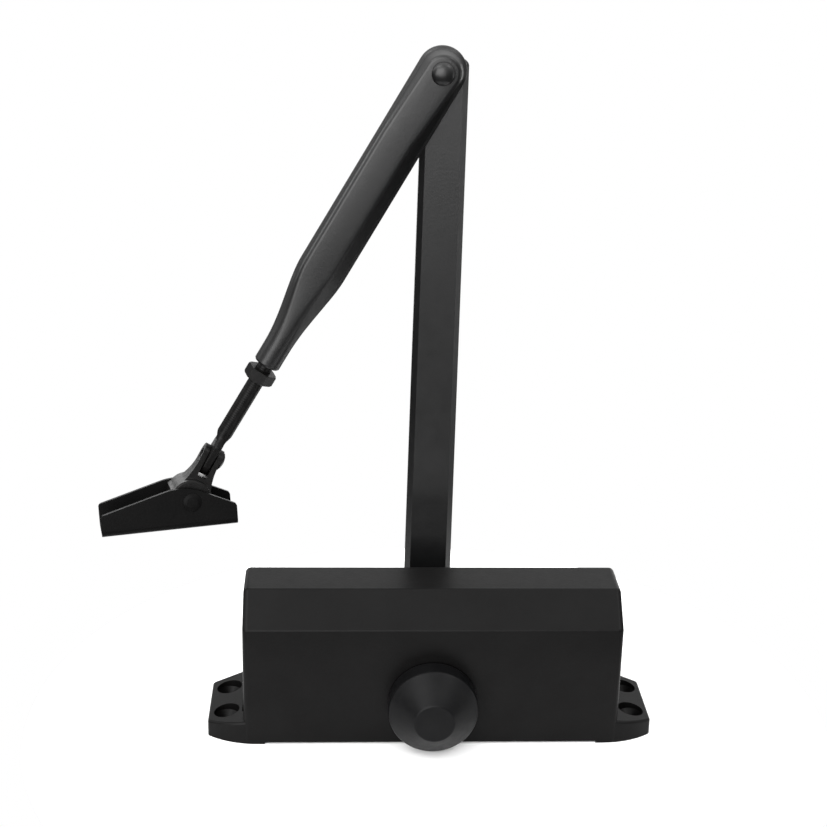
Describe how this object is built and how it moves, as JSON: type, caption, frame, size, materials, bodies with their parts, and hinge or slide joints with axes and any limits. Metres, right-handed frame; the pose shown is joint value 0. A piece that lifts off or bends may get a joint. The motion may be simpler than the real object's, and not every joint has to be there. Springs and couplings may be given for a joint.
{
  "type": "door closer",
  "caption": "Overhead door closer: chamfered cast body with screw ears, conical pinion cap, flat main arm and adjustable forearm ending in a channel-shaped frame shoe.",
  "frame": {"origin": "centre of the four body fixing holes, on the face that sits against the door", "axes": "+X along the body towards the adjusting valves, +Y towards the arm, +Z away from the door; the pinion turns about a line along Y"},
  "size_m": [0.2274, 0.0852, 0.2707],
  "materials": {
    "body_paint": "black satin powder coat on the castings and pressings",
    "arm_paint": "black satin powder coat on the bar, forearm and shoe",
    "cap_plastic": "black moulded plastic, low gloss",
    "black_steel": "blackened small steel parts",
    "bright_steel": "machined or ground steel",
    "iron": "turned and milled iron",
    "bronze": "plain bearing bronze",
    "rubber": "nitrile rubber"
  },
  "bodies": {
    "closer_body": {"body_casting": "body_paint", "spring_end_plug": "black_steel", "valve_end_plug": "black_steel", "spring_plug_ring": "rubber", "valve_plug_ring": "rubber", "front_bearing": "bronze", "rear_bearing": "bronze", "front_seal": "rubber", "rear_seal": "rubber", "cap_carrier": "black_steel", "rear_cover_ring": "black_steel", "pinion_cap": "cap_plastic", "main_spring": "bright_steel"},
    "piston": {"piston": "iron", "check_ball": "bright_steel", "check_retainer": "bright_steel"},
    "sweep_valve": {"sweep_valve": "black_steel", "sweep_valve_ring": "rubber"},
    "latch_valve": {"latch_valve": "black_steel", "latch_valve_ring": "rubber"},
    "main_arm": {"pinion_shaft": "bright_steel", "main_arm": "arm_paint", "arm_washer": "black_steel", "arm_screw": "black_steel", "elbow_rivet": "black_steel", "elbow_washer": "bronze"},
    "forearm": {"forearm": "arm_paint"},
    "rod": {"adjusting_rod": "black_steel"},
    "lock_nut": {"lock_nut": "black_steel"},
    "knuckle": {"knuckle": "black_steel", "cross_pin": "black_steel"},
    "shoe": {"shoe": "arm_paint", "shoe_pin": "black_steel"}
  },
  "joints": [
    {"name": "pinion_turn", "type": "hinge", "parent": "closer_body", "child": "main_arm", "pos_m": [0, 0, 0.0195], "axis": [0, -1, 0], "range_deg": [0, 170], "stiffness_Nm_per_rad": 2.43, "springref_deg": -126.05},
    {"name": "piston_slide", "type": "slide", "parent": "closer_body", "child": "piston", "axis": [-1, 0, 0], "range_m": [0, 0.0268], "deforming": ["main_spring"]},
    {"name": "elbow", "type": "hinge", "parent": "main_arm", "child": "forearm", "pos_m": [0.0004, 0.02885, 0.26115], "axis": [0, 1, 0], "range_deg": [-3, 140]},
    {"name": "rod_adjust", "type": "slide", "parent": "forearm", "child": "rod", "axis": [-0.5008, 0, -0.8656], "range_m": [-0.01, 0.02]},
    {"name": "lock_nut_travel", "type": "slide", "parent": "forearm", "child": "lock_nut", "axis": [-0.5008, 0, -0.8656], "range_m": [-0.0027, 0.01]},
    {"name": "knuckle_swivel", "type": "hinge", "parent": "rod", "child": "knuckle", "pos_m": [-0.09047, 0.02885, 0.10407], "axis": [0.8639, 0.0628, -0.4998], "range_deg": [-20, 50]},
    {"name": "shoe_pivot", "type": "hinge", "parent": "knuckle", "child": "shoe", "pos_m": [-0.09912, 0.0241, 0.08853], "axis": [-0.1821, 0.964, -0.1937], "range_deg": [-30, 75]},
    {"name": "sweep_valve_turn", "type": "hinge", "parent": "closer_body", "child": "sweep_valve", "pos_m": [0.0687, -0.008, 0.0509], "axis": [1, 0, 0], "range_deg": [-180, 360]},
    {"name": "latch_valve_turn", "type": "hinge", "parent": "closer_body", "child": "latch_valve", "pos_m": [0.0687, 0.008, 0.0509], "axis": [1, 0, 0], "range_deg": [-180, 360]}
  ],
  "couplings": [
    {"joint": "piston_slide", "follows": "pinion_turn", "m_per_rad": 0.009}
  ]
}
